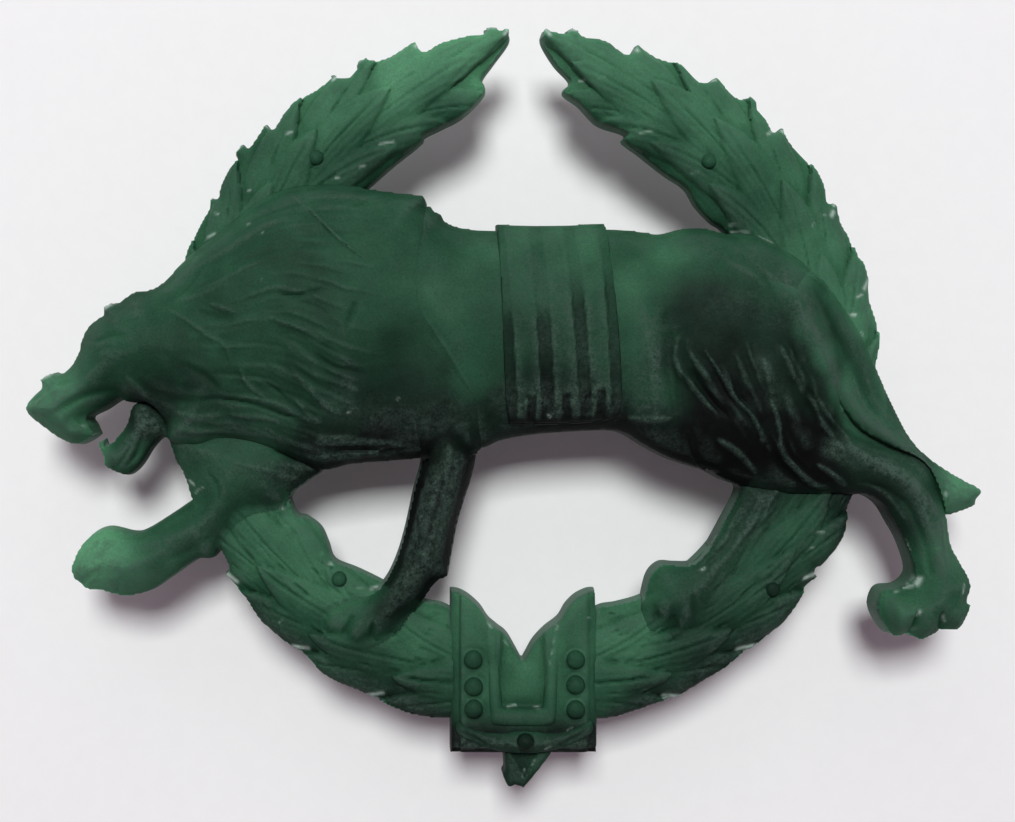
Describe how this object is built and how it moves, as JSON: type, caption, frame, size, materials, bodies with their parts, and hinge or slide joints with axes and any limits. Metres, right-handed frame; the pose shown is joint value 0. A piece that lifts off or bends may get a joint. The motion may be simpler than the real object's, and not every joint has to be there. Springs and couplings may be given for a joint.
{
  "type": "cap badge",
  "caption": "Relief cap badge in dark green wax: a striding maned beast over an open laurel wreath with a studded tie plate, and lugs with a split pin behind.",
  "frame": {"origin": "centre of the laurel wreath, on the flat back of the badge", "axes": "+X to the right as seen from the front, +Y up, +Z out of the face; the lugs and the pin lie behind at negative Z"},
  "size_m": [0.05, 0.0399, 0.0106],
  "materials": {
    "wreath_wax": "translucent green carving wax, satin, lighter where it is thin",
    "beast_wax": "translucent dark green carving wax, satin, near black where it is thick",
    "tie_wax": "translucent green carving wax, satin",
    "brass": "plain turned and drawn brass, lightly dulled"
  },
  "bodies": {
    "badge": {"wreath_left": "wreath_wax", "wreath_right": "wreath_wax", "berries": "wreath_wax", "mane_head": "beast_wax", "lower_jaw": "beast_wax", "torso": "beast_wax", "girth_band": "beast_wax", "near_foreleg": "beast_wax", "far_foreleg": "beast_wax", "near_hind_leg": "beast_wax", "far_hind_leg": "beast_wax", "tail": "beast_wax", "tie_plate": "tie_wax", "tie_frame": "tie_wax", "tie_swag": "tie_wax", "tie_studs": "tie_wax", "strap_tip": "tie_wax", "lug_left": "brass", "lug_right": "brass"},
    "split_pin": {"split_pin": "brass"}
  },
  "joints": [
    {"name": "pin_slide", "type": "slide", "parent": "badge", "child": "split_pin", "axis": [1, 0, 0], "range_m": [0, 0.045]}
  ]
}
